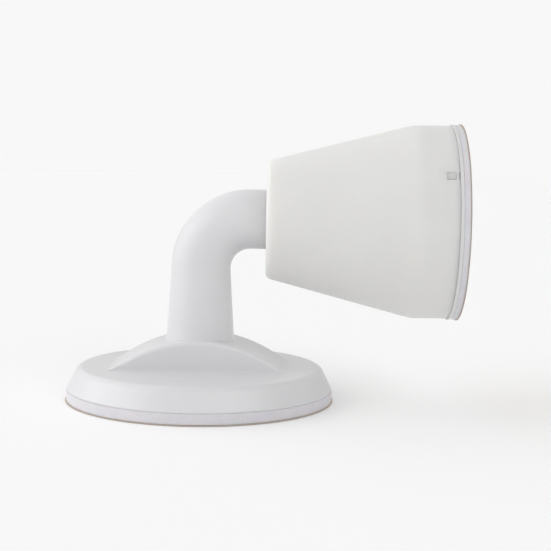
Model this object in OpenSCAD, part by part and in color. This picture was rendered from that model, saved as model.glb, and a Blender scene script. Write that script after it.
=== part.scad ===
// Stick-on door stop: a round foot with a bent arm, and a conical catch head that
// plugs onto the arm's magnetic tip. Millimetres, +Z up, arm and head along +X.
// The origin is the centre of the foot's underside.

/* [Foot] */
// Diameter of the foot cover at its lower edge
foot_d = 69; // [66:0.5:74]
// Height of the foot's flat top above the floor
foot_top = 8.8; // [8.6:0.1:9.6]
// Slope of the foot's side wall, from upright
side_slope = 27; // [20:1:30]
// Wall thickness of the foot cover
foot_wall = 2.3; // [2:0.1:2.6]
// Radius of the saddle's arch
arch_r = 35.8; // [34:0.1:38]
// Height of the arch's crown above the floor
arch_top = 16.6; // [16:0.1:18]
// Thickness of the saddle, front to back
saddle_w = 22; // [21:0.5:24]

/* [Arm] */
// Height of the head's axis above the floor
axis_h = 47.35; // [44:0.05:54]
// Diameter of the arm at its tip
arm_d = 15.4; // [15:0.1:16.5]
// Diameter of the arm where it enters the saddle
arm_root_d = 18; // [17:0.1:18.2]
// Bend radius of the arm's centre line
bend_r = 12.8; // [11:0.1:15]

/* [Head] */
// Distance from the foot's centre to the head's mouth
mouth_x = 16.9; // [15:0.1:20]
// Diameter of the head at its mouth
mouth_d = 30.4; // [28:0.2:32]
// Diameter of the head's straight rear part
rear_d = 49.9; // [48:0.1:54]
// Length of the tapered part
cone_len = 37.4; // [34:0.2:42]
// Length of the straight rear part
rear_len = 9.6; // [9:0.1:12]
// Wall thickness of the silicone skirt
skirt_wall = 2.2; // [2:0.1:2.4]
// Angle of the first snap window above the horizontal
window_angle = 30; // [20:1:40]

/* [Tape] */
// Thickness of the foot's foam tape
foot_foam_t = 2.7; // [1.5:0.1:3]
// Thickness of the head's foam tape
head_foam_t = 1.6; // [1:0.1:2.5]
// Thickness of the paper release liners
liner_t = 0.25; // [0.2:0.05:0.5]

/* [Hidden] */
$fn = 96;

eps = 0.01;         // overshoot of a cutter past the face it opens
gap = 0.1;          // assembly clearance between moulded parts
run = 0.05;         // radial running clearance of a turning pin

abs_white = [0.93, 0.93, 0.94];
silicone_white = [0.92, 0.92, 0.90];
foam_white = [0.90, 0.89, 0.93];
kraft = [0.76, 0.62, 0.45];
steel = [0.72, 0.73, 0.75];
nickel = [0.80, 0.80, 0.78];

// Foot, from the floor up
foot_r = foot_d / 2;
foam_top = liner_t + foot_foam_t;
plate_t = 1.5;
plate_top = foam_top + plate_t;
band_h = 0.55;                                   // upright band at the cover's lower edge
foot_chamfer = 1.1;
shoulder_z = foot_top - foot_chamfer;
shoulder_r = foot_r - (shoulder_z - foam_top - band_h) * tan(side_slope);
recess_r = foot_r - foot_wall;                   // seat of the foot plate
ledge = 0.8;                                     // step that the plate rests on
cavity_top = foot_top - foot_wall;
arch_z = arch_top - arch_r;                      // centre of the arch
saddle_chamfer = 1;
saddle_wall = 2.4;
rib_t = 1.4;
rib_from = plate_top + 0.4;
shoulder_round = 0.45;                           // first facet of the rounded shoulder
plate_hole_r = 6.4;                              // way in for the arm's bolt
screw_ring_r = 24;
boss_r = 3;

// Small countersunk screws
screw_r = 1.3;
pilot_r = 1.35;
foot_screw_head_r = 2.3;
foot_screw_len = 5.2;
core_screw_head_r = 2.5;
core_screw_len = 9;
magnet_screw_head_r = 2.9;
magnet_screw_r = 1.5;
magnet_screw_grip = 7;                           // length of its thread in the arm
recess_share = 0.55;                             // cross recess as a share of a screw head

// Joint between the arm and the saddle
seat_z = 13;                                     // shoulder that the arm stands on
web_z = 6.6;                                     // underside of the web that the bolt pulls on
web_t = 2;
tenon_r = 6.5;
tenon_flat = 5.5;
boss_wall_r = saddle_w / 2 - 0.1;
bolt_r = 2.4;
bolt_hole_r = bolt_r + 0.3;
bolt_head_r = 4.5;
bolt_head_t = 2.5;
bolt_edge = 0.6;
bolt_well_r = bolt_head_r + 1.6;                 // room round the bolt's head and washer
washer_t = 0.8;
washer_lip = 1;
bolt_tip_z = 27;

// Arm tip, along X
arm_r = arm_d / 2;
tip_x = mouth_x + 19.4;                          // end of the moulded arm
nose_x = tip_x - 5.2;                            // where the tip starts to taper
nose_r = arm_r - 0.5;
nose_edge = 0.6;
pad_t = 0.7;
pad_proud = 0.15;                                // how far the soft pad stands past the tip
pad_r = nose_r - 0.9;
cup_r = 6.1;
cup_len = 5.2;
cup_wall = 0.9;
cup_floor = 1.2;
cup_hole_r = 1.6;
cup_x = tip_x - cup_len;                         // floor of the pocket in the tip
magnet_bore_r = 1.7;
ring_x = tip_x - 11.2;                           // centre of the grip ring's groove
ring_wire_r = 1.05;
ring_r = arm_r - ring_wire_r + 0.15;

// Floating strike plate, along X
pad_face_x = tip_x + pad_proud;
strike_x = pad_face_x + gap;
strike_t = 1.5;
strike_r = 7.4;
buffer_x = strike_x + strike_t + run;
buffer_t = 2;
pin_r = 2;
pin_head_r = 3.6;
clip_t = 0.6;
clip_r = 4.4;
clip_groove_r = 1.5;
pin_tail = 1.3;                                  // pin left beyond the clip's groove
plate_edge = 0.3;

// Head, along X
knee_x = mouth_x + cone_len;
rear_x = knee_x + rear_len;
mouth_r = mouth_d / 2;
rear_r = rear_d / 2;
cone_slope = (rear_r - mouth_r) / cone_len;
mouth_hole_r = arm_r + 0.4;
mouth_lip_r = 12.7;                              // core's front disc, behind the mouth
mouth_lip_t = 1.8;
mouth_wall = 2.5;
mouth_edge = 0.9;                                // chamfer round the mouth
inner_rear_r = rear_r - skirt_wall;
socket_r = arm_r + 0.35;
socket_wall = 1.8;
socket_from = mouth_x + mouth_wall + gap;
end_wall_x = buffer_x + buffer_t;
end_wall_t = 2.5;
cap_flange_t = 0.8;
cap_plug_t = 1.7;
cap_x = rear_x + cap_flange_t;                   // outer face of the back cap
cap_plug_x = rear_x - cap_plug_t;
cap_ring_t = 1.5;
core_flange_t = 2;
core_flange_x = cap_plug_x - core_flange_t;
core_flange_r = 20.6;
core_screw_ring = 15.5;
core_boss_len = 7;
core_boss_r = 3;
core_rib_from = 8;                               // distance of a rib's inner edge from the axis
core_rib_h = 9;
core_rib_lead = 10;                              // how far a rib runs ahead of its boss
core_boss_from = core_flange_x - core_boss_len;
window_w = 2;
window_len = 2.4;
window_x = rear_x - 1 - window_len;
cap_ring_from = window_x - 2.6;
notch_len = 0.6;
notch_depth = 0.9;
hook_root = 1;                                   // hook's depth in the ring, and height above it
hook_h = 1.8;
hook_slit_at = 2.2;                              // slits on both sides of a hook's tongue
hook_slit_w = 0.8;
slit_depth = 3;
head_foam_x = cap_x;
head_liner_x = head_foam_x + head_foam_t;
tape_lip = 0.3;                                  // how far the tapes stand past the mouldings
liner_lip = 0.45;                                // and the release liners

window_angles = [for (k = [0:2]) window_angle + 120 * k];
core_screw_angles = [for (k = [0:2]) 90 + 120 * k];
foot_screw_angles = [for (k = [0:3]) 45 + 90 * k];

// A solid turned about the head's axis, from points given as [radius, x].
module turned(points) {
    translate([0, 0, axis_h]) rotate([0, 90, 0]) rotate_extrude() polygon(points);
}

// A round bar along the head's axis, from x0 to x1.
module bar(r, x0, x1) {
    translate([x0, 0, axis_h]) rotate([0, 90, 0]) cylinder(r = r, h = x1 - x0);
}

// Places children at an angle round the head's axis: 0 faces -Y, 90 faces up.
module around_axis(angle, x = 0) {
    translate([x, 0, axis_h]) rotate([-angle, 0, 0]) mirror([0, 1, 0]) children();
}

// A cross recess in a screw head, cut along +Z from the origin.
module cross_recess(r, depth) {
    for (a = [0, 90])
        rotate([0, 0, a]) translate([-r, -r / 4, -eps]) cube([2 * r, r / 2, depth + eps]);
}

// A countersunk screw with its head's face at the origin, pointing along +Z.
module countersunk_screw(head_r, r, len) {
    difference() {
        union() {
            cylinder(r1 = head_r, r2 = r, h = head_r - r);
            cylinder(r = r, h = len);
        }
        cross_recess(head_r * recess_share, (head_r - r) * 0.7);
    }
}

// The hole for such a screw through a plate.
module countersunk_hole(head_r, r, len) {
    translate([0, 0, -eps]) cylinder(r1 = head_r + gap, r2 = r + gap, h = head_r - r);
    translate([0, 0, -eps]) cylinder(r = r + gap, h = len);
}

// ---- Foot ----

module foot_release_liner() {
    color(kraft) cylinder(r = foot_r + liner_lip, h = liner_t);
}

module foot_foam_tape() {
    color(foam_white) translate([0, 0, liner_t])
        cylinder(r = foot_r + tape_lip, h = foot_foam_t);
}

module at_foot_screws() {
    for (a = foot_screw_angles)
        rotate([0, 0, a]) translate([screw_ring_r, 0, foam_top]) children();
}

module foot_plate() {
    color(abs_white) difference() {
        translate([0, 0, foam_top]) cylinder(r = recess_r - gap, h = plate_t);
        translate([0, 0, foam_top - eps]) cylinder(r = plate_hole_r, h = plate_t + 2 * eps);
        at_foot_screws() countersunk_hole(foot_screw_head_r, screw_r, plate_t + 1);
    }
}

module foot_plate_screws() {
    color(steel) at_foot_screws() countersunk_screw(foot_screw_head_r, screw_r, foot_screw_len);
}

module foot_outline() {
    rotate_extrude() polygon([
        [0, foam_top], [foot_r, foam_top], [foot_r, foam_top + band_h],
        [shoulder_r, shoulder_z], [shoulder_r - shoulder_round, foot_top - shoulder_round * 0.8],
        [shoulder_r - foot_chamfer - 0.2, foot_top], [0, foot_top]
    ]);
}

// An arched slab with its crown's edges chamfered, standing on the foot's top.
module arched_slab(r, width, chamfer, from) {
    half = width / 2;
    intersection() {
        translate([0, 0, arch_z]) rotate([90, 0, 0]) rotate_extrude() polygon([
            [0, -half], [r - chamfer, -half], [r, chamfer - half],
            [r, half - chamfer], [r - chamfer, half], [0, half]
        ]);
        translate([-foot_r, -width, from]) cube([2 * foot_r, 2 * width, arch_top]);
    }
}

module foot_cavity() {
    inner_r = recess_r - ledge;
    top_r = inner_r - (cavity_top - plate_top) * tan(side_slope);
    rotate_extrude() polygon([
        [0, foam_top - 1], [recess_r, foam_top - 1], [recess_r, plate_top],
        [inner_r, plate_top], [top_r, cavity_top], [0, cavity_top]
    ]);
    arched_slab(arch_r - saddle_wall, saddle_w - 2 * saddle_wall, 0.5, cavity_top - 1);
}

module foot_stiffeners() {
    for (a = [0, 90])
        rotate([0, 0, a]) translate([-foot_r, -rib_t / 2, rib_from])
            cube([2 * foot_r, rib_t, arch_top]);
    difference() {
        translate([0, 0, rib_from]) cylinder(r = screw_ring_r + rib_t / 2, h = foot_top);
        cylinder(r = screw_ring_r - rib_t / 2, h = arch_top);
        translate([-foot_r, -saddle_w / 2, 0]) cube([2 * foot_r, saddle_w, arch_top]);
    }
    translate([0, 0, web_z]) cylinder(r = boss_wall_r, h = arch_top);
    for (a = foot_screw_angles)
        rotate([0, 0, a]) translate([screw_ring_r, 0, plate_top])
            cylinder(r = boss_r, h = foot_top);
}

module tenon(clearance, from, to) {
    intersection() {
        translate([0, 0, from]) cylinder(r = tenon_r + clearance, h = to - from);
        translate([-tenon_flat - clearance, -arm_r, from])
            cube([2 * (tenon_flat + clearance), 2 * arm_r, to - from]);
    }
}

module foot_shell() {
    color(abs_white) difference() {
        union() {
            foot_outline();
            arched_slab(arch_r, saddle_w, saddle_chamfer, cavity_top);
        }
        difference() {
            foot_cavity();
            foot_stiffeners();
        }
        translate([0, 0, seat_z]) cylinder(r = arm_root_d / 2 + gap, h = arch_top);
        tenon(gap, web_z + web_t, seat_z + 1);
        translate([0, 0, plate_top - 1]) cylinder(r = bolt_hole_r, h = arch_top);
        translate([0, 0, plate_top - 1]) cylinder(r = bolt_well_r, h = web_z - plate_top + 1);
        at_foot_screws() cylinder(r = pilot_r, h = foot_screw_len + 2 * gap);
    }
}

// ---- Arm ----

module arm_body() {
    bend_z = axis_h - bend_r;
    translate([0, 0, seat_z + gap])
        cylinder(r1 = arm_root_d / 2, r2 = arm_r, h = bend_z - seat_z - gap);
    translate([bend_r, 0, bend_z]) rotate([90, 0, 0]) rotate_extrude(angle = 90, start = 90)
        translate([bend_r, 0]) circle(r = arm_r);
    turned([
        [0, bend_r], [arm_r, bend_r], [arm_r, nose_x], [nose_r, tip_x - nose_edge],
        [nose_r - nose_edge, tip_x], [0, tip_x]
    ]);
    tenon(0, web_z + web_t + gap, seat_z + gap + eps);
}

// The groove round the arm, cut to a half width each side of the ring.
module grip_groove(half) {
    floor_r = arm_r - 2 * ring_wire_r;
    turned([
        [floor_r, ring_x - half], [arm_r + 1, ring_x - half],
        [arm_r + 1, ring_x + half], [floor_r, ring_x + half]
    ]);
}

module arm() {
    color(abs_white) difference() {
        arm_body();
        translate([0, 0, web_z]) cylinder(r = bolt_r + run, h = bolt_tip_z - web_z + 1);
        bar(cup_r + run, cup_x, tip_x + 1);
        bar(magnet_screw_r + run, cup_x - magnet_screw_grip - 1, tip_x);
        grip_groove(ring_wire_r + gap);
    }
}

module arm_bolt() {
    head_z = web_z - washer_t - bolt_head_t;
    color(steel) difference() {
        union() {
            translate([0, 0, head_z])
                cylinder(r1 = bolt_head_r - bolt_edge, r2 = bolt_head_r, h = bolt_edge);
            translate([0, 0, head_z + bolt_edge])
                cylinder(r = bolt_head_r, h = bolt_head_t - bolt_edge);
            translate([0, 0, web_z - washer_t - eps]) cylinder(r = bolt_r, h = bolt_tip_z - web_z);
        }
        translate([0, 0, head_z]) cross_recess(bolt_head_r * recess_share, bolt_head_t * 0.6);
    }
}

module arm_washer() {
    color(steel) translate([0, 0, web_z - washer_t]) difference() {
        cylinder(r = bolt_head_r + washer_lip, h = washer_t);
        translate([0, 0, -1]) cylinder(r = bolt_r + gap, h = washer_t + 2);
    }
}

module magnet_cup() {
    color(steel) turned([
        [cup_hole_r, cup_x], [cup_r, cup_x], [cup_r, tip_x - pad_t], [cup_r - cup_wall, tip_x - pad_t],
        [cup_r - cup_wall, cup_x + cup_floor], [cup_hole_r, cup_x + cup_floor]
    ]);
}

module ring_magnet() {
    face = tip_x - pad_t - gap;
    sink = 1.5;
    color(nickel) turned([
        [magnet_bore_r, cup_x + cup_floor], [cup_r - cup_wall - run, cup_x + cup_floor],
        [cup_r - cup_wall - run, face], [magnet_bore_r + sink, face], [magnet_bore_r, face - sink]
    ]);
}

module magnet_screw() {
    face = tip_x - pad_t - gap;
    color(steel) translate([face, 0, axis_h]) rotate([0, -90, 0])
        countersunk_screw(magnet_screw_head_r, magnet_screw_r, face - cup_x + magnet_screw_grip);
}

module tip_pad() {
    color(silicone_white) turned([
        [0, tip_x - pad_t], [cup_r, tip_x - pad_t], [cup_r, tip_x],
        [pad_r, tip_x], [pad_r, pad_face_x], [0, pad_face_x]
    ]);
}

module grip_ring() {
    color(silicone_white) translate([ring_x, 0, axis_h]) rotate([0, 90, 0])
        rotate_extrude() translate([ring_r, 0]) circle(r = ring_wire_r);
}

// ---- Floating strike ----

module strike_plate() {
    sink = pin_head_r - pin_r;
    back = strike_x + strike_t;
    color(steel) turned([
        [pin_r, back], [strike_r - plate_edge, back], [strike_r, back - plate_edge],
        [strike_r, strike_x + plate_edge], [strike_r - plate_edge, strike_x],
        [pin_head_r, strike_x], [pin_r, strike_x + sink * 0.75]
    ]);
}

module strike_pin() {
    tail = end_wall_x + end_wall_t + run + clip_t;
    color(nickel) turned([
        [0, strike_x + run], [pin_head_r - 0.1, strike_x + run],
        [pin_r - run, strike_x + (pin_head_r - pin_r) * 0.75], [pin_r - run, tail - clip_t],
        [clip_groove_r, tail - clip_t], [clip_groove_r, tail], [pin_r - run, tail],
        [pin_r - run, tail + pin_tail - 0.4], [pin_r - 0.5, tail + pin_tail], [0, tail + pin_tail]
    ]);
}

module strike_clip() {
    x = end_wall_x + end_wall_t + run;
    color(steel) difference() {
        bar(clip_r, x + gap / 2, x + clip_t - gap / 2);
        bar(clip_groove_r + run, x - 1, x + clip_t + 1);
        translate([x - 1, -clip_groove_r, axis_h - 2 * clip_r])
            cube([clip_t + 2, 2 * clip_groove_r, 2 * clip_r]);
    }
}

module strike_buffer() {
    color(silicone_white) turned([
        [pin_r + gap, buffer_x], [socket_r - 0.3, buffer_x],
        [socket_r - 0.3, end_wall_x], [pin_r + gap, end_wall_x]
    ]);
}

// ---- Head ----

module head_skirt() {
    inner_mouth_r = mouth_r + mouth_wall * cone_slope - skirt_wall;
    color(silicone_white) difference() {
        turned([
            [mouth_hole_r, mouth_x], [mouth_r - mouth_edge, mouth_x],
            [mouth_r + 0.3 * cone_slope, mouth_x + mouth_edge * 0.9],
            [rear_r, knee_x], [rear_r, rear_x], [inner_rear_r, rear_x], [inner_rear_r, knee_x + 0.4],
            [inner_mouth_r, mouth_x + mouth_wall], [mouth_hole_r, mouth_x + mouth_wall]
        ]);
        for (a = window_angles) {
            around_axis(a, window_x) translate([0, inner_rear_r - 1, -window_w / 2])
                cube([window_len, skirt_wall + 3, window_w]);
            around_axis(a, rear_x - notch_len) translate([0, rear_r - notch_depth, -window_w / 2])
                cube([notch_len + 1, 3, window_w]);
        }
    }
}

module head_core() {
    tube_r = socket_r + socket_wall;
    color(abs_white) difference() {
        union() {
            bar(tube_r, socket_from, core_flange_x + 1);
            bar(mouth_lip_r, socket_from, socket_from + mouth_lip_t);
            bar(core_flange_r, core_flange_x, cap_plug_x - gap);
            for (a = core_screw_angles) {
                around_axis(a, core_boss_from) translate([0, core_screw_ring, 0])
                    rotate([0, 90, 0]) cylinder(r = core_boss_r, h = core_boss_len + 1);
                around_axis(a, core_boss_from - core_rib_lead) translate([0, core_rib_from, -rib_t / 2])
                    cube([core_rib_lead + core_boss_len + 1, core_rib_h, rib_t]);
            }
        }
        bar(socket_r, socket_from - 1, end_wall_x);
        bar(pin_r, end_wall_x - 1, end_wall_x + end_wall_t + 1);
        bar(socket_r, end_wall_x + end_wall_t, rear_x);
        for (a = core_screw_angles)
            around_axis(a, core_boss_from + 1) translate([0, core_screw_ring, 0])
                rotate([0, 90, 0]) cylinder(r = pilot_r, h = rear_x - core_boss_from);
    }
}

module at_core_screws() {
    for (a = core_screw_angles)
        around_axis(a, cap_x) translate([0, core_screw_ring, 0]) rotate([0, -90, 0]) children();
}

module head_core_screws() {
    color(steel) at_core_screws() countersunk_screw(core_screw_head_r, screw_r, core_screw_len);
}

module head_back_cap() {
    color(abs_white) difference() {
        union() {
            bar(rear_r + tape_lip, rear_x, cap_x);
            bar(inner_rear_r - gap, cap_plug_x, rear_x + eps);
            difference() {
                bar(inner_rear_r - gap, cap_ring_from, cap_plug_x + eps);
                bar(inner_rear_r - gap - cap_ring_t, cap_ring_from - 1, cap_plug_x);
            }
            for (a = window_angles)
                around_axis(a, window_x + gap) translate([0, inner_rear_r - hook_root, gap - window_w / 2])
                    cube([window_len - 2 * gap, hook_root + hook_h, window_w - 2 * gap]);
        }
        for (a = window_angles, side = [-1, 1])
            around_axis(a, cap_ring_from - 1)
                translate([0, inner_rear_r - slit_depth, side * hook_slit_at - hook_slit_w / 2])
                    cube([cap_plug_x - cap_ring_from, slit_depth + 1, hook_slit_w]);
        at_core_screws() countersunk_hole(core_screw_head_r, screw_r, cap_flange_t + cap_plug_t + 1);
    }
}

module head_foam_tape() {
    color(foam_white) bar(rear_r + tape_lip, head_foam_x, head_liner_x);
}

module head_release_liner() {
    color(kraft) bar(rear_r + liner_lip, head_liner_x, head_liner_x + liner_t);
}

foot_release_liner();
foot_foam_tape();
foot_plate();
foot_plate_screws();
foot_shell();
arm();
arm_bolt();
arm_washer();
magnet_cup();
ring_magnet();
magnet_screw();
tip_pad();
grip_ring();
strike_plate();
strike_pin();
strike_clip();
strike_buffer();
head_skirt();
head_core();
head_core_screws();
head_back_cap();
head_foam_tape();
head_release_liner();
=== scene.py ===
"""A stick-on door stop: its looks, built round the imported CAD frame. Metres, +Z up, arm along +X."""

import math

import bmesh
import bpy
from mathutils import Matrix, Vector, noise


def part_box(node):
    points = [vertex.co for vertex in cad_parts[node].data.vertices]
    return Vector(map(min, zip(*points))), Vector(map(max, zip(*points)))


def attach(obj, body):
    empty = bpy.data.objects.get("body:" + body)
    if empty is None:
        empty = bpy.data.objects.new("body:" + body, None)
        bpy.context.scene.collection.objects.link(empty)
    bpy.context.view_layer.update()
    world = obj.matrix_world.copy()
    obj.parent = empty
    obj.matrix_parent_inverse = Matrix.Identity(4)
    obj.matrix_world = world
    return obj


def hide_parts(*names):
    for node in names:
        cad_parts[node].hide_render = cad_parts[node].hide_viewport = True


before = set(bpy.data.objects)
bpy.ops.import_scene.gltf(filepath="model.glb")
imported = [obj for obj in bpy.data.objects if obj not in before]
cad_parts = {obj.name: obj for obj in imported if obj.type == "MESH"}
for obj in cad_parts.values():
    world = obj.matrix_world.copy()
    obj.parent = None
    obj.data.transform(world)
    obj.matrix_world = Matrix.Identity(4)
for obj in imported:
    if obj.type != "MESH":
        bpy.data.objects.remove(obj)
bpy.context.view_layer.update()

MM = 0.001
TAU = 2 * math.pi
STATIONS = 192          # segments round every turned surface

# The CAD boxes that places are worked out from
SHELL_LOW, SHELL_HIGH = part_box("foot_shell")
ARM_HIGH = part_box("arm")[1]
SKIRT_LOW, SKIRT_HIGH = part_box("head_skirt")
CAP_LOW, CAP_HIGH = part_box("head_back_cap")
PLATE_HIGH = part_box("foot_plate")[1]

FOOT_R = SHELL_HIGH.x
AXIS_Z = (SKIRT_LOW.z + SKIRT_HIGH.z) / 2
MOUTH_X, REAR_X = SKIRT_LOW.x, SKIRT_HIGH.x
REAR_R = SKIRT_HIGH.y
TIP_X = ARM_HIGH.x
ARM_R = ARM_HIGH.z - AXIS_Z

# Foot cover
FOOT_TOP = 8.8 * MM
BAND_H = 0.5 * MM
SHOULDER_ROUND = 2.1 * MM
SIDE_SLOPE = math.radians(27)
ARCH_R = 35.8 * MM
ARCH_HALF_W = 11 * MM
ARCH_EDGE = 1.25 * MM
ARCH_FOOT = 0.6 * MM
ARCH_BLEND = 0.8 * MM
SADDLE_HALF_X = 24 * MM     # half lengths of the patch that holds the saddle
SADDLE_HALF_Y = 13 * MM
SADDLE_STEPS = 150
ROOF_WALL = 2.3 * MM
SEAT_Z = 13 * MM            # where the arm's root sits in the foot

# Arm
ARM_ROOT_R = ARM_HIGH.y
BEND_R = 12.8 * MM
ARM_FLARE = 0.45 * MM
GRIP_X = TIP_X - 11.2 * MM
GROOVE_HALF = 1.15 * MM
GROOVE_DEPTH = 2.1 * MM
NOSE_LEN = 5.2 * MM
NOSE_R = ARM_R - 0.5 * MM
POCKET_R = 6.15 * MM
POCKET_DEPTH = 5.2 * MM

# Head
CONE_LEN = 37.4 * MM
MOUTH_R = 15.2 * MM
SKIRT_WALL = 2.2 * MM
MOUTH_HOLE_R = ARM_R + 0.4 * MM
MOUTH_WALL = 2.5 * MM
WINDOW_ANGLES = [math.radians(a) for a in (30, 150, 270)]
WINDOW_W = 2.0 * MM
WINDOW_LEN = 2.4 * MM
WINDOW_X = REAR_X - 1 * MM - WINDOW_LEN
NOTCH_LEN = 0.55 * MM
NOTCH_DEPTH = 0.3 * MM
HOOK_DEPTH = 3 * MM
HOOK_FIT = 0.01 * MM        # gap round a hook at the sides where it fits closely
HOOK_SINK = 0.3 * MM        # how deep a hook's face lies at its closely fitted long side
HOOK_LEAN = 0.35            # slope of its face away from that side
HOOK_SLACK = 0.55 * MM      # gap left at the opposite side


# ---- Mesh helpers ----

def rounded(corners, steps=6):
    """The points of an outline given as (radius, place, corner radius), its corners turned into arcs."""
    points = []
    for i, (x, y, radius) in enumerate(corners):
        here = Vector((x, y))
        if radius == 0 or i in (0, len(corners) - 1):
            points.append(here)
            continue
        back = (Vector(corners[i - 1][:2]) - here)
        on = (Vector(corners[i + 1][:2]) - here)
        half = back.angle(on) / 2
        reach = min(radius / math.tan(half), 0.49 * back.length, 0.49 * on.length)
        radius = reach * math.tan(half)
        back.normalize()
        on.normalize()
        centre = here + (back + on).normalized() * (radius / math.sin(half))
        first = here + back * reach - centre
        last = here + on * reach - centre
        turn = math.atan2(first.x * last.y - first.y * last.x, first.dot(last))
        for k in range(steps + 1):
            points.append(centre + Matrix.Rotation(turn * k / steps, 2) @ first)
    return points


def about_z(radius, place, angle):
    return Vector((radius * math.cos(angle), radius * math.sin(angle), place))


def about_head_axis(radius, place, angle):
    """Angle 0 faces -Y and a quarter turn faces up."""
    return Vector((place, -radius * math.cos(angle), AXIS_Z + radius * math.sin(angle)))


def turned(outline, place_at, closed=False):
    """A bmesh of an outline of (radius, place) points turned a full circle by place_at."""
    bm = bmesh.new()
    rings = []
    for radius, place in outline:
        count = 1 if radius < 1e-7 else STATIONS
        rings.append([bm.verts.new(place_at(radius, place, TAU * k / STATIONS)) for k in range(count)])
    pairs = list(zip(rings, rings[1:]))
    if closed:
        pairs.append((rings[-1], rings[0]))
    for a, b in pairs:
        for k in range(STATIONS):
            corner = [a[k % len(a)], a[(k + 1) % len(a)], b[(k + 1) % len(b)], b[k % len(b)]]
            corner = list(dict.fromkeys(corner))
            if len(corner) > 2:
                bm.faces.new(corner)
    return bm


def loft(rings):
    """A bmesh through closed rings of equal length, closed at both ends."""
    bm = bmesh.new()
    made = [[bm.verts.new(p) for p in ring] for ring in rings]
    for a, b in zip(made, made[1:]):
        for k in range(len(a)):
            j = (k + 1) % len(a)
            bm.faces.new([a[k], a[j], b[j], b[k]])
    bm.faces.new(list(reversed(made[0])))
    bm.faces.new(made[-1])
    return bm


def piece(name, bm, sharp=35):
    """A smooth-shaded object from a bmesh, with its edges over an angle kept sharp."""
    bmesh.ops.remove_doubles(bm, verts=bm.verts, dist=1e-7)
    bmesh.ops.recalc_face_normals(bm, faces=bm.faces)
    mesh = bpy.data.meshes.new(name)
    bm.to_mesh(mesh)
    bm.free()
    mesh.polygons.foreach_set("use_smooth", [True] * len(mesh.polygons))
    mesh.set_sharp_from_angle(angle=math.radians(sharp))
    made = bpy.data.objects.new(name, mesh)
    bpy.context.scene.collection.objects.link(made)
    return made


def combine(target, bm, operation):
    """Joins a bmesh to a piece, or cuts it out of one, and leaves one closed mesh."""
    tool = piece(target.name + "_tool", bm)
    change = target.modifiers.new("shape", "BOOLEAN")
    change.operation = operation
    change.solver = "EXACT"
    change.object = tool
    graph = bpy.context.evaluated_depsgraph_get()
    mesh = bpy.data.meshes.new_from_object(target.evaluated_get(graph))
    target.modifiers.clear()
    old, target.data = target.data, mesh
    mesh.name = target.name
    bpy.data.meshes.remove(old)
    bpy.data.objects.remove(tool)
    mesh.polygons.foreach_set("use_smooth", [True] * len(mesh.polygons))
    mesh.set_sharp_from_angle(angle=math.radians(35))


def block(centre, size, place, corner=0.25 * MM):
    """A bmesh block with rounded edges, its middle at centre, turned and moved by a matrix."""
    bm = bmesh.new()
    bmesh.ops.create_cube(bm, size=1)
    bmesh.ops.scale(bm, vec=size, verts=bm.verts)
    bmesh.ops.bevel(bm, geom=bm.edges[:], offset=corner, segments=3, profile=0.5, affect="EDGES")
    bmesh.ops.translate(bm, vec=centre, verts=bm.verts)
    bmesh.ops.transform(bm, matrix=place, verts=bm.verts)
    return bm


def finish_piece(made, body, slot, materials, *nodes):
    """Says what a piece rides on, which finish it takes, and which CAD nodes it stands for."""
    for material in materials:
        made.data.materials.append(material)
    keep = made.modifiers.new("even_normals", "WEIGHTED_NORMAL")
    keep.keep_sharp = True
    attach(made, body)
    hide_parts(*nodes)


# ---- Materials ----

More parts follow.
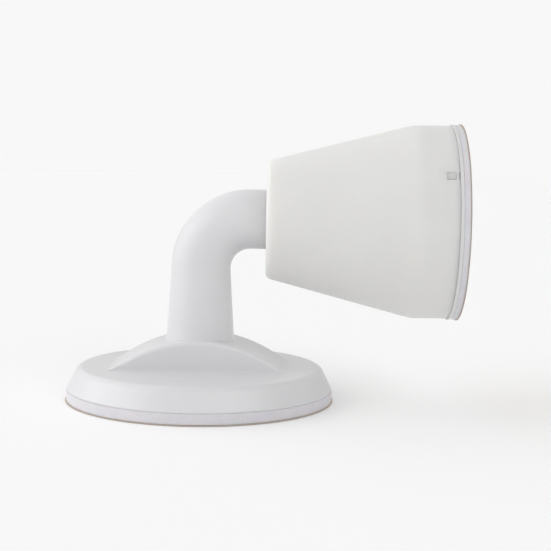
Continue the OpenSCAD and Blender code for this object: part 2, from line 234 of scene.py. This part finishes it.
class Look:
    """A material built round one Principled shader, with procedural colour, roughness and bump."""

    def __init__(self, name, colour, roughness, **sockets):
        self.material = bpy.data.materials.new(name)
        self.material.use_nodes = True
        self.tree = self.material.node_tree
        self.shader = self.tree.nodes["Principled BSDF"]
        self.shader.inputs["Base Color"].default_value = (*colour, 1)
        self.shader.inputs["Roughness"].default_value = roughness
        for socket, value in sockets.items():
            self.shader.inputs[socket.replace("_", " ")].default_value = value
        self.place = self.node("ShaderNodeTexCoord").outputs["Object"]
        self.height = None

    def node(self, kind, **settings):
        made = self.tree.nodes.new(kind)
        for key, value in settings.items():
            setattr(made, key, value)
        return made

    def link(self, source, target):
        self.tree.links.new(source, target)

    def stretched(self, scale):
        """Object coordinates multiplied by a scale for each axis."""
        mapping = self.node("ShaderNodeMapping")
        mapping.inputs["Scale"].default_value = scale
        self.link(self.place, mapping.inputs["Vector"])
        return mapping.outputs["Vector"]

    def noise(self, size, detail=3.0, roughness=0.5, stretch=(1, 1, 1)):
        """A noise field whose features are about size metres across."""
        made = self.node("ShaderNodeTexNoise")
        made.inputs["Scale"].default_value = 1
        made.inputs["Detail"].default_value = detail
        made.inputs["Roughness"].default_value = roughness
        self.link(self.stretched(tuple(s / size for s in stretch)), made.inputs["Vector"])
        return made.outputs["Fac"]

    def cells(self, size):
        """Distance from the middles of scattered cells about size metres across."""
        made = self.node("ShaderNodeTexVoronoi", feature="F1")
        made.inputs["Scale"].default_value = 1
        made.inputs["Randomness"].default_value = 1.0
        self.link(self.stretched((1 / size,) * 3), made.inputs["Vector"])
        return made.outputs["Distance"]

    def ramp(self, field, stops):
        """A field turned into grey or colour by (place, value) stops."""
        made = self.node("ShaderNodeValToRGB")
        points = made.color_ramp.elements
        while len(points) < len(stops):
            points.new(0.5)
        for point, (place, value) in zip(points, stops):
            point.position = place
            point.color = (*value, 1) if isinstance(value, tuple) else (value, value, value, 1)
        self.link(field, made.inputs["Fac"])
        return made.outputs["Color"]

    def colour(self, field, stops):
        self.link(self.ramp(field, stops), self.shader.inputs["Base Color"])

    def colour_over(self, field, stops):
        """Multiplies the colour so far by a ramp of a field."""
        mix = self.node("ShaderNodeMix", data_type="RGBA", blend_type="MULTIPLY")
        mix.inputs["Factor"].default_value = 1.0
        base = self.shader.inputs["Base Color"]
        if base.is_linked:
            self.link(base.links[0].from_socket, mix.inputs["A"])
        else:
            mix.inputs["A"].default_value = base.default_value
        self.link(self.ramp(field, stops), mix.inputs["B"])
        self.link(mix.outputs["Result"], base)

    def roughness(self, field, low, high):
        self.link(self.ramp(field, [(0.25, low), (0.75, high)]), self.shader.inputs["Roughness"])

    def bump(self, field, depth, strength=1.0):
        """Adds relief of about depth metres on top of any relief so far."""
        made = self.node("ShaderNodeBump")
        made.inputs["Strength"].default_value = strength
        made.inputs["Distance"].default_value = depth
        self.link(field, made.inputs["Height"])
        if self.height:
            self.link(self.height, made.inputs["Normal"])
        self.height = made.outputs["Normal"]
        self.link(self.height, self.shader.inputs["Normal"])


def mix_colours(a, b, share):
    return tuple(x + (y - x) * share for x, y in zip(a, b))


def moulded_abs(name, colour):
    """Satin white ABS: faint flow marks, a soft orange peel and a fine spark-eroded grain."""
    look = Look(name, colour, 0.33, IOR=1.5, Subsurface_Weight=0.06, Subsurface_Scale=0.002)
    look.shader.inputs["Subsurface Radius"].default_value = (1.0, 0.9, 0.8)
    look.colour(look.noise(14 * MM, 2), [(0.3, mix_colours(colour, (0, 0, 0), 0.02)), (0.7, colour)])
    look.colour_over(look.noise(0.9 * MM, 4), [(0.3, 0.985), (0.7, 1.0)])
    look.roughness(look.noise(3.5 * MM, 4), 0.28, 0.38)
    look.bump(look.noise(2.2 * MM, 1), 0.012 * MM)
    look.bump(look.noise(0.16 * MM, 2), 0.004 * MM)
    return look.material


def moulded_silicone(name, colour):
    """Matt, slightly translucent silicone: cloudy colour, a dry skin and a fine grain."""
    look = Look(name, colour, 0.55, IOR=1.43, Subsurface_Weight=0.7, Subsurface_Scale=0.005)
    look.shader.inputs["Subsurface Radius"].default_value = (1.0, 0.93, 0.82)
    look.shader.inputs["Sheen Weight"].default_value = 0.08
    look.colour(look.noise(11 * MM, 3), [(0.3, mix_colours(colour, (0, 0, 0), 0.025)), (0.7, colour)])
    look.colour_over(look.noise(0.6 * MM, 5, 0.6), [(0.3, 0.98), (0.7, 1.0)])
    look.roughness(look.noise(2.5 * MM, 5), 0.5, 0.62)
    look.bump(look.noise(5 * MM, 1), 0.03 * MM)
    look.bump(look.noise(0.12 * MM, 3), 0.006 * MM)
    return look.material


def foam_tape(name, colour):
    """Closed-cell foam: a lilac white with open cells at the cut edge, the middles of their pits painted
    darker as shade.
    """
    look = Look(name, colour, 0.9, IOR=1.4, Subsurface_Weight=0.25, Subsurface_Scale=0.0015)
    look.colour(look.noise(3 * MM, 4), [(0.3, mix_colours(colour, (0, 0, 0), 0.05)), (0.7, colour)])
    # painted shade: the cell middles, which the bump below sinks into pits, are darkened
    look.colour_over(look.cells(0.28 * MM), [(0.0, 0.82), (0.3, 0.97), (0.6, 1.0)])
    look.bump(look.cells(0.28 * MM), 0.03 * MM, 0.8)
    look.bump(look.noise(0.9 * MM, 3), 0.03 * MM)
    return look.material


def kraft_paper(name, colour):
    """Tan release paper: long soft fibres, flecks and a slight glaze."""
    look = Look(name, colour, 0.5, Sheen_Weight=0.05)
    fibres = look.noise(0.5 * MM, 6, 0.65, stretch=(0.2, 1, 1))
    look.colour(fibres, [(0.25, mix_colours(colour, (0.2, 0.1, 0.03), 0.3)), (0.75, colour)])
    look.colour_over(look.noise(0.25 * MM, 2), [(0.28, 0.72), (0.36, 1.0)])
    look.roughness(look.noise(1.5 * MM, 4), 0.42, 0.6)
    look.bump(fibres, 0.01 * MM)
    return look.material


def plated_metal(name, colour, roughness, stretch=(1, 1, 1)):
    """Zinc or nickel plate: fine brushing, a faint bloom and handling marks."""
    look = Look(name, colour, roughness, Metallic=1.0)
    bloom = look.noise(2.5 * MM, 3)
    look.colour(bloom, [(0.3, mix_colours(colour, (0.45, 0.47, 0.52), 0.3)), (0.7, colour)])
    look.roughness(look.noise(0.5 * MM, 5, 0.6), max(roughness - 0.08, 0.05), roughness + 0.12)
    look.bump(look.noise(0.12 * MM, 3, 0.6, stretch), 0.003 * MM)
    return look.material


ABS_WHITE = (0.702, 0.699, 0.713)
SILICONE_WHITE = (0.759, 0.750, 0.729)
FOAM_WHITE = (0.70, 0.682, 0.715)
KRAFT = (0.56, 0.43, 0.29)
CUT_PAPER = (0.52, 0.48, 0.45)

foot_plastic = moulded_abs("white_abs_foot", ABS_WHITE)
arm_plastic = moulded_abs("white_abs_arm", ABS_WHITE)
inner_plastic = moulded_abs("white_abs_inner", (0.68, 0.68, 0.675))
head_silicone = moulded_silicone("warm_white_silicone", SILICONE_WHITE)
pad_silicone = moulded_silicone("pad_silicone", (0.72, 0.72, 0.71))
foam = foam_tape("white_foam", FOAM_WHITE)
liner_paper = kraft_paper("kraft_liner", KRAFT)
liner_edge = kraft_paper("cut_liner_edge", CUT_PAPER)
zinc_steel = plated_metal("zinc_steel", (0.66, 0.67, 0.69), 0.35, (1, 0.1, 0.1))
nickel = plated_metal("nickel_plate", (0.75, 0.73, 0.70), 0.18)


# ---- Foot ----

def smooth_max(a, b, width):
    """The larger of two heights, with their crossing rounded over a width."""
    near = max(width - abs(a - b), 0) / width
    return max(a, b) + near * near * width / 4


def crown_height(x):
    """Height of the saddle's arch above the floor at a place along X."""
    return SHELL_HIGH.z - ARCH_R + math.sqrt(max(ARCH_R ** 2 - x ** 2, 0))


def saddle_section(x, flat_half):
    """(y, z) points over the foot's top from front to back at a place along X."""
    rise = smooth_max(crown_height(x), FOOT_TOP, ARCH_BLEND) - FOOT_TOP
    if rise < 0.02 * MM:
        rise = 0
    low, high = min(ARCH_FOOT, 0.35 * rise), min(ARCH_EDGE, 0.5 * rise)
    steps = 6
    side = [(flat_half, FOOT_TOP)]
    for k in range(steps + 1):
        turn = math.pi / 2 * k / steps
        side.append((ARCH_HALF_W + low * (1 - math.sin(turn)), FOOT_TOP + low * (1 - math.cos(turn))))
    for k in range(steps + 1):
        turn = math.pi / 2 * k / steps
        side.append((ARCH_HALF_W - high * (1 - math.cos(turn)),
                     FOOT_TOP + rise - high * (1 - math.sin(turn))))
    crown = 8
    across = [(ARCH_HALF_W - high) * (1 - 2 * k / crown) for k in range(1, crown)]
    front = [(-y, z) for y, z in side]
    back = list(reversed(side))
    return front + [(-y, FOOT_TOP + rise) for y in across] + back


def saddle_patch(bm, half_x, half_y, count):
    """The saddle and the flat round it as a grid. Returns its border, in order."""
    grid = []
    for i in range(count + 1):
        x = half_x * (2 * i / count - 1)
        grid.append([bm.verts.new((x, y, z)) for y, z in saddle_section(x, half_y)])
    for a, b in zip(grid, grid[1:]):
        for j in range(len(a) - 1):
            bm.faces.new([a[j], b[j], b[j + 1], a[j + 1]])
    first, last = grid[0], grid[-1]
    return [row[0] for row in grid] + last[1:] + [row[-1] for row in reversed(grid[:-1])] + first[-2:0:-1]


def zip_rings(bm, inner, outer):
    """Fills the flat between two closed loops of vertices round the Z axis with triangles."""
    def by_angle(ring):
        return sorted(ring, key=lambda v: math.atan2(v.co.y, v.co.x) % TAU)

    def angle(ring, k):
        turns, k = divmod(k, len(ring))
        return math.atan2(ring[k].co.y, ring[k].co.x) % TAU + turns * TAU

    a, b = by_angle(inner), by_angle(outer)
    i = j = 0
    while i < len(a) or j < len(b):
        if j >= len(b) or (i < len(a) and angle(a, i + 1) < angle(b, j + 1)):
            bm.faces.new([a[i % len(a)], a[(i + 1) % len(a)], b[j % len(b)]])
            i += 1
        else:
            bm.faces.new([b[j % len(b)], b[(j + 1) % len(b)], a[i % len(a)]])
            j += 1


def foot_cover():
    """The foot's moulded cover with its arched saddle."""
    bm = bmesh.new()
    border = saddle_patch(bm, SADDLE_HALF_X, SADDLE_HALF_Y, SADDLE_STEPS)
    under = SHELL_LOW.z
    shoulder_r = FOOT_R - (FOOT_TOP - under - BAND_H) * math.tan(SIDE_SLOPE)
    recess_r = PLATE_HIGH.x + 0.1 * MM
    ledge_r = recess_r - 0.8 * MM
    roof = FOOT_TOP - ROOF_WALL
    corners = [
        (shoulder_r - 3 * MM, FOOT_TOP, 0),
        (shoulder_r, FOOT_TOP, SHOULDER_ROUND),
        (FOOT_R, under + BAND_H, 0.6 * MM),
        (FOOT_R, under, 0.15 * MM),
        (recess_r, under, 0.15 * MM),
        (recess_r, PLATE_HIGH.z, 0.1 * MM),
        (ledge_r, PLATE_HIGH.z, 0.1 * MM),
        (ledge_r - 1.2 * MM, roof, 0.4 * MM),
        (0, roof, 0),
    ]
    ring = turned(rounded(corners, 8), about_z)
    shell = bpy.data.meshes.new("side")
    ring.to_mesh(shell)
    ring.free()
    bm.verts.ensure_lookup_table()
    before = len(bm.verts)
    bm.from_mesh(shell)
    bm.verts.ensure_lookup_table()
    rim = bm.verts[before:before + STATIONS]
    zip_rings(bm, list(dict.fromkeys(border)), list(rim))
    bpy.data.meshes.remove(shell)
    return piece("foot_cover", bm, 40)


def foam_disc(name, low, high, radius, place_at, seed):
    """A die-cut foam disc whose cut edge bulges and wanders slightly."""
    middle = (low + high) / 2
    half = (high - low) / 2
    corner = 0.16 * MM
    bulge = 0.08 * MM
    outline = [(0, low), (radius * 0.5, low), (radius - corner - 2 * bulge, low)]
    steps = 14
    for k in range(steps + 1):
        turn = math.pi * (k / steps - 0.5)
        along = math.copysign(abs(math.sin(turn)) ** 0.45, math.sin(turn))
        out = radius - bulge - corner * (1 - abs(math.cos(turn)) ** 0.45)
        outline.append((out, middle + half * along))
    outline += [(radius - corner - 2 * bulge, high), (radius * 0.5, high), (0, high)]
    bm = turned(outline, place_at)
    axis_point = place_at(0, middle, 0)
    for v in bm.verts:
        spoke = v.co - axis_point
        along = place_at(0, high, 0) - place_at(0, low, 0)
        spoke -= along * spoke.dot(along) / along.length_squared
        if spoke.length > radius - 2 * corner:
            near = noise.noise(v.co * 300 + Vector((seed, 0, 0)))
            v.co += spoke.normalized() * bulge * 0.8 * near
    return piece(name, bm, 60)


def liner_disc(name, low, high, radius, place_at, towards_foam, seed):
    """A paper liner against its foam. The paper's rim stands off in shallow waves."""
    paper = 0.15 * MM
    room = (high - low) - paper
    bm = bmesh.new()
    shares = [0, 0.4, 0.8, 0.9, 0.94, 0.97, 0.985, 0.996, 1.0]

    def sheet_at(offset):
        rings = []
        for share in shares:
            count = 1 if share == 0 else STATIONS
            ring = []
            for k in range(count):
                angle = TAU * k / STATIONS
                wave = noise.noise(Vector((math.cos(angle) * 2.2 + seed, math.sin(angle) * 2.2, 0)))
                lift = room * (0.25 + 0.7 * wave) * max((share - 0.9) / 0.1, 0) ** 2
                lift = min(max(lift, 0), room)
                side = (high - offset - lift) if towards_foam > 0 else (low + offset + lift)
                ring.append(bm.verts.new(place_at(radius * share, side, angle)))
            rings.append(ring)
        for a, b in zip(rings, rings[1:]):
            for k in range(STATIONS):
                corner = [a[k % len(a)], a[(k + 1) % len(a)], b[(k + 1) % len(b)], b[k % len(b)]]
                bm.faces.new(list(dict.fromkeys(corner)))
        return rings[-1]

    top, bottom = sheet_at(0), sheet_at(paper)
    for k in range(STATIONS):
        j = (k + 1) % STATIONS
        bm.faces.new([top[k], top[j], bottom[j], bottom[k]]).material_index = 1
    return piece(name, bm, 60)


# ---- Arm ----

def arm_ring(centre, out, radius):
    """A circle of points at centre, square to the arm. The first point lies along out."""
    side = Vector((0, 1, 0))
    return [centre + out * radius * math.cos(TAU * k / 96) + side * radius * math.sin(TAU * k / 96)
            for k in range(96)]


def arm_outline():
    """Rings of the arm from its seat in the saddle to the magnet's pocket in its tip."""
    bend_z = AXIS_Z - BEND_R
    left = Vector((-1, 0, 0))
    rings = []

    def leg_radius(z):
        share = (z - SEAT_Z) / (bend_z - SEAT_Z)
        return ARM_ROOT_R + (ARM_R - ARM_ROOT_R) * share

    rings.append(arm_ring(Vector((0, 0, SEAT_Z)), left, leg_radius(SEAT_Z) - 0.05 * MM))
    steps = 10
    for k in range(-1, steps + 1):
        turn = math.pi / 2 * (1 - max(k, 0) / steps)
        out = ARM_FLARE * (1 - math.cos(turn))
        ring = []
        for p in arm_ring(Vector(), left, 1.0):
            radius = ARM_ROOT_R - 0.12 * MM + out
            x = p.x * radius
            rise = -0.4 * MM if k < 0 else ARM_FLARE * (1 - math.sin(turn))
            ring.append(Vector((x, p.y * radius, crown_height(x) + rise)))
        rings.append(ring)
    top = max(p.z for p in rings[-1])
    for k in range(1, 13):
        share = k / 12
        z = top + (bend_z - top) * share
        ring = arm_ring(Vector((0, 0, z)), left, leg_radius(z))
        rings.append(ring)
    for k in range(1, 33):
        turn = math.pi / 2 * k / 32
        out = Vector((-math.cos(turn), 0, math.sin(turn)))
        rings.append(arm_ring(Vector((BEND_R, 0, bend_z)) + out * BEND_R, out, ARM_R))
    up = Vector((0, 0, 1))
    nose_x = TIP_X - NOSE_LEN
    edge = 0.2 * MM
    corners = [
        (ARM_R, BEND_R + 2 * MM, 0),
        (ARM_R, GRIP_X - GROOVE_HALF, edge),
        (ARM_R - GROOVE_DEPTH, GRIP_X - GROOVE_HALF, edge),
        (ARM_R - GROOVE_DEPTH, GRIP_X + GROOVE_HALF, edge),
        (ARM_R, GRIP_X + GROOVE_HALF, edge),
        (ARM_R, nose_x, 6 * MM),
        (NOSE_R, TIP_X - 0.3 * MM, 0.5 * MM),
        (NOSE_R - 0.6 * MM, TIP_X, 0.2 * MM),
        (POCKET_R, TIP_X, 0.1 * MM),
        (POCKET_R, TIP_X - POCKET_DEPTH, 0.1 * MM),
        (0.5 * MM, TIP_X - POCKET_DEPTH, 0),
    ]
    for radius, x in rounded(corners, 5):
        rings.append(arm_ring(Vector((x, 0, AXIS_Z)), up, radius))
    return rings


def bent_arm():
    return piece("bent_arm", loft(arm_outline()), 40)


# ---- Head ----

def cone_radius(x):
    return MOUTH_R + (REAR_R - MOUTH_R) * (x - MOUTH_X) / CONE_LEN


def spoke_matrix(angle):
    """Turns +Y into the spoke at an angle round the head's axis."""
    spoke = Vector((0, -math.cos(angle), math.sin(angle)))
    across = Vector((1, 0, 0)).cross(spoke)
    turn = Matrix((Vector((1, 0, 0)), spoke, across)).transposed().to_4x4()
    return Matrix.Translation((0, 0, AXIS_Z)) @ turn


def head_skirt():
    """The conical silicone skirt, with its snap windows and the notches in its rear edge."""
    knee_x = MOUTH_X + CONE_LEN
    inner_x = MOUTH_X + MOUTH_WALL
    inner_rear = REAR_R - SKIRT_WALL
    corners = [
        (MOUTH_HOLE_R, MOUTH_X + 1.2 * MM, 0),
        (MOUTH_HOLE_R, MOUTH_X, 0.5 * MM),
        (MOUTH_R, MOUTH_X, 1.6 * MM),
        (REAR_R, knee_x, 12 * MM),
        (REAR_R, REAR_X, 0.1 * MM),
        (inner_rear, REAR_X, 0.15 * MM),
        (inner_rear, knee_x + 0.4 * MM, 4 * MM),
        (cone_radius(inner_x) - SKIRT_WALL, inner_x, 1.5 * MM),
        (MOUTH_HOLE_R, inner_x, 0.4 * MM),
        (MOUTH_HOLE_R, MOUTH_X + 1.3 * MM, 0),
    ]
    made = piece("head_skirt_moulding", turned(rounded(corners, 8), about_head_axis, closed=True))
    for angle in WINDOW_ANGLES:
        middle = Vector((WINDOW_X + WINDOW_LEN / 2, REAR_R, 0))
        combine(made, block(middle, (WINDOW_LEN, 8 * MM, WINDOW_W), spoke_matrix(angle)), "DIFFERENCE")
        notch = Vector((REAR_X + 1 * MM, REAR_R + 2 * MM - NOTCH_DEPTH, 0))
        size = (2 * MM + 2 * NOTCH_LEN, 4 * MM, WINDOW_W)
        combine(made, block(notch, size, spoke_matrix(angle)), "DIFFERENCE")
    return made


def back_cap():
    """The head's back cap: a flange behind the skirt, a plug, a ring and three snap hooks."""
    flange_r = CAP_HIGH.y
    ring_r = REAR_R - SKIRT_WALL - 0.1 * MM
    ring_in = ring_r - 1.5 * MM
    plug_x = REAR_X - 1.7 * MM
    corners = [
        (0, CAP_HIGH.x, 0),
        (flange_r, CAP_HIGH.x, 0.1 * MM),
        (flange_r, REAR_X, 0.12 * MM),
        (ring_r, REAR_X, 0.1 * MM),
        (ring_r, CAP_LOW.x, 0.3 * MM),
        (ring_in, CAP_LOW.x, 0.3 * MM),
        (ring_in, plug_x, 0.3 * MM),
        (0, plug_x, 0),
    ]
    made = piece("back_cap", turned(rounded(corners, 6), about_head_axis))
    middle = Vector((WINDOW_X + WINDOW_LEN / 2, REAR_R - HOOK_SINK - HOOK_DEPTH / 2,
                     (HOOK_FIT - HOOK_SLACK) / 2))
    size = (WINDOW_LEN - 2 * HOOK_FIT, HOOK_DEPTH, WINDOW_W - HOOK_FIT - HOOK_SLACK)
    lean = Matrix.Identity(4)
    lean[1][2] = -HOOK_LEAN
    lean[1][3] = -HOOK_LEAN * WINDOW_W / 2
    for angle in WINDOW_ANGLES:
        combine(made, block(middle, size, spoke_matrix(angle) @ lean, 0.04 * MM), "UNION")
    return made


def tip_pad():
    """The soft pad over the magnet: a low dome with a rounded rim and a stem in the arm's pocket."""
    low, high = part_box("tip_pad")
    outline = rounded([
        (0, high.x, 0),
        (0.6 * high.y, high.x, 6 * MM),
        (high.y, high.x - 0.05 * MM, 0.12 * MM),
        (high.y, TIP_X, 0),
        (POCKET_R - 0.05 * MM, TIP_X, 0),
        (POCKET_R - 0.05 * MM, low.x, 0.1 * MM),
        (0, low.x, 0),
    ], 6)
    return piece("tip_pad_moulding", turned(outline, about_head_axis))


def grip_ring():
    """The silicone ring in the arm's groove."""
    low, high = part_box("grip_ring")
    wire = (high.x - low.x) / 2
    middle = (high.x + low.x) / 2
    radius = high.y - wire
    outline = [Vector((radius + wire * math.cos(TAU * k / 24), middle + wire * math.sin(TAU * k / 24)))
               for k in range(24)]
    return piece("grip_ring_moulding", turned(outline, about_head_axis, closed=True), 60)


# ---- Camera, light and floor ----

FLOOR_GLOW = 0.082
FILL = 0.487
BACKDROP = 0.936


def camera():
    """The photograph's view: almost level, from the front, with a short telephoto lens."""
    azimuth, elevation, roll = math.radians(-0.08), math.radians(5.71), math.radians(-0.98)
    distance = 330 * MM
    aim = Vector((19.46, 3.09, 32.43)) * MM
    side = Vector((math.cos(azimuth), -math.sin(azimuth), 0))
    ahead = Vector((math.sin(azimuth) * math.cos(elevation), math.cos(azimuth) * math.cos(elevation),
                    -math.sin(elevation)))
    above = side.cross(ahead)
    right = side * math.cos(roll) - above * math.sin(roll)
    up = side * math.sin(roll) + above * math.cos(roll)
    data = bpy.data.cameras.new("camera")
    data.lens = 81.8
    data.sensor_width = 36
    data.clip_start, data.clip_end = 0.01, 20
    made = bpy.data.objects.new("camera", data)
    made.matrix_world = Matrix.Translation(aim - ahead * distance) @ Matrix(
        (right, up, -ahead)).transposed().to_4x4()
    bpy.context.scene.collection.objects.link(made)
    bpy.context.scene.camera = made


def soft_sun(name, azimuth, elevation, strength, spread):
    """A broad studio light. Azimuth 0 is the camera's side and 90 is +X. All angles are in degrees."""
    around, up = math.radians(azimuth), math.radians(elevation)
    source = Vector((math.sin(around) * math.cos(up), -math.cos(around) * math.cos(up), math.sin(up)))
    data = bpy.data.lights.new(name, "SUN")
    data.energy = strength
    data.angle = math.radians(spread)
    made = bpy.data.objects.new(name, data)
    made.rotation_euler = (-source).to_track_quat("-Z", "Y").to_euler()
    bpy.context.scene.collection.objects.link(made)


def studio(fill, backdrop):
    """An even white surround that lights the object by fill and is seen as backdrop."""
    made = bpy.data.worlds.new("studio")
    made.use_nodes = True
    tree = made.node_tree
    lighting = tree.nodes["Background"]
    seen = tree.nodes.new("ShaderNodeBackground")
    choice = tree.nodes.new("ShaderNodeMixShader")
    ray = tree.nodes.new("ShaderNodeLightPath")
    for node, strength in ((lighting, fill), (seen, backdrop)):
        node.inputs["Color"].default_value = (1, 1, 1, 1)
        node.inputs["Strength"].default_value = strength
    tree.links.new(ray.outputs["Is Camera Ray"], choice.inputs["Fac"])
    tree.links.new(lighting.outputs["Background"], choice.inputs[1])
    tree.links.new(seen.outputs["Background"], choice.inputs[2])
    tree.links.new(choice.outputs["Shader"], tree.nodes["World Output"].inputs["Surface"])
    bpy.context.scene.world = made


def floor():
    """A plain pale floor that glows a little, like a light table's sheet."""
    bm = bmesh.new()
    bmesh.ops.create_grid(bm, x_segments=8, y_segments=8, size=3)
    bmesh.ops.translate(bm, vec=(0, 0, -0.05 * MM), verts=bm.verts)
    made = piece("floor", bm)
    look = Look("floor_sheet", (0.9, 0.9, 0.9), 0.9)
    look.shader.inputs["Emission Color"].default_value = (1, 1, 1, 1)
    look.shader.inputs["Emission Strength"].default_value = FLOOR_GLOW
    made.data.materials.append(look.material)


camera()
bpy.context.scene.view_settings.view_transform = "Standard"
studio(FILL, BACKDROP)
floor()
soft_sun("left", -80, 15, 1.557, 70)
soft_sun("back_left", -125, 35, 0.562, 70)
soft_sun("front", 0, 15, 0.253, 70)
soft_sun("upper_right", 40, 40, 0.585, 40)
soft_sun("back", 180, 35, 0.263, 70)
soft_sun("top", 0, 88, 0.062, 70)

finish_piece(foot_cover(), "foot", "foot_plastic", [foot_plastic], "foot_shell")
finish_piece(bent_arm(), "foot", "arm_plastic", [arm_plastic], "arm")
finish_piece(tip_pad(), "foot", "pad_silicone", [pad_silicone], "tip_pad")

tape_low, tape_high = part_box("foot_foam_tape")
foot_foam = foam_disc("foot_foam", tape_low.z, tape_high.z, tape_high.x, about_z, 3.1)
finish_piece(foot_foam, "foot", "foam", [foam], "foot_foam_tape")
paper_low, paper_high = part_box("foot_release_liner")
finish_piece(liner_disc("foot_liner", paper_low.z, paper_high.z, paper_high.x, about_z, 1, 5.7),
             "foot", "liner_paper", [liner_paper, liner_edge], "foot_release_liner")

finish_piece(head_skirt(), "head", "head_silicone", [head_silicone], "head_skirt")
finish_piece(back_cap(), "head", "inner_plastic", [inner_plastic], "head_back_cap")
tape_low, tape_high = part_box("head_foam_tape")
head_foam = foam_disc("head_foam", tape_low.x, tape_high.x, tape_high.y, about_head_axis, 8.4)
finish_piece(head_foam, "head", "foam", [foam], "head_foam_tape")
paper_low, paper_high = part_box("head_release_liner")
finish_piece(liner_disc("head_liner", paper_low.x, paper_high.x, paper_high.y, about_head_axis, -1, 2.3),
             "head", "liner_paper", [liner_paper, liner_edge], "head_release_liner")
finish_piece(grip_ring(), "ring", "pad_silicone", [pad_silicone], "grip_ring")

CARRIED = {
    "foot_plate": inner_plastic, "foot_plate_screws": zinc_steel, "arm_bolt": zinc_steel,
    "arm_washer": zinc_steel, "magnet_cup": zinc_steel, "ring_magnet": nickel,
    "magnet_screw": zinc_steel, "strike_plate": zinc_steel,
    "strike_pin": nickel, "strike_clip": zinc_steel, "strike_buffer": pad_silicone,
    "head_core": inner_plastic, "head_core_screws": zinc_steel,
}
for name, material in CARRIED.items():
    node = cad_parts[name]
    node.data.materials.clear()
    node.data.materials.append(material)
